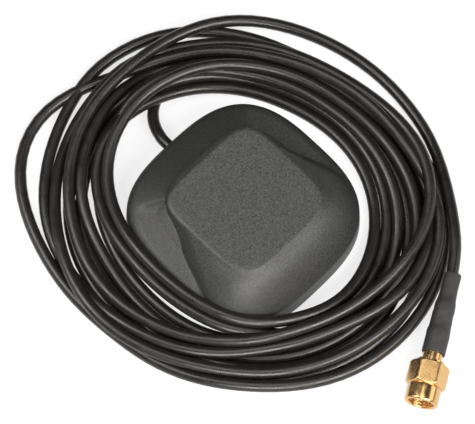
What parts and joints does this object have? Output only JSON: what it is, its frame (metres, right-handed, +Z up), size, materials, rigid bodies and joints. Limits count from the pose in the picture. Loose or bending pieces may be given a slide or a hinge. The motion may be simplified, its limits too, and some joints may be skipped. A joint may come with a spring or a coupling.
{
  "type": "gps antenna",
  "caption": "Low square puck antenna with a magnetic base, a long thin coaxial lead wound in a loose coil round it, and a gold screw-on coaxial plug.",
  "frame": {"origin": "centre of the puck's underside, on the surface that it stands on", "axes": "+Z up, the cable leaves the puck towards -X, the wide front slope of the cover faces +X"},
  "size_m": [0.1121, 0.0966, 0.0155],
  "materials": {
    "housing": "fine spark texture, moulded",
    "gasket": "matt",
    "screw_steel": "zinc plated",
    "magnet": "sintered, dark",
    "board": "solder mask",
    "ceramic": "unglazed, pressed",
    "silvering": "fired silver",
    "adhesive": "foam tape",
    "tinplate": "tinned sheet",
    "chip": "moulded epoxy",
    "filter": "ceramic package with gilt lid",
    "bush": "matt",
    "jacket": "smooth extruded jacket, satin gloss",
    "braid": "tinned copper braid",
    "insulation": "translucent white",
    "copper": "bare copper",
    "sleeve": "shrunk sleeve, matt",
    "gold": "gold plated",
    "ptfe": "white, waxy",
    "ring_bronze": "spring bronze",
    "washer": "red silicone"
  },
  "bodies": {
    "root": {"top_cover": "housing", "base_plate": "housing", "sealing_gasket": "gasket", "base_screws": "screw_steel", "magnet": "magnet", "circuit_board": "board", "patch_ceramic": "ceramic", "patch_electrode": "silvering", "adhesive_pad": "adhesive", "feed_pin": "silvering", "shield_can": "tinplate", "amplifier_chip": "chip", "saw_filter": "filter", "cable_bush": "bush", "cable_jacket_rear": "jacket", "cable_braid_rear": "braid", "cable_core_rear": "insulation", "cable_wire_rear": "copper", "cable_lead": "jacket", "cable_coil": "jacket", "cable_tail": "jacket", "cable_jacket_front": "jacket", "cable_braid_front": "braid", "cable_core_front": "insulation", "heat_shrink": "sleeve", "crimp_ferrule": "gold", "connector_body": "gold", "connector_insulator": "ptfe", "centre_pin": "gold", "retaining_ring": "ring_bronze", "connector_washer": "washer"},
    "coupling_nut": {"coupling_nut": "gold"}
  },
  "joints": [
    {"name": "coupling_nut_spin", "type": "hinge", "parent": "root", "child": "coupling_nut", "pos_m": [0.05709, 0.00046, 0.004], "axis": [0.5, -0.866, 0], "continuous": true}
  ]
}
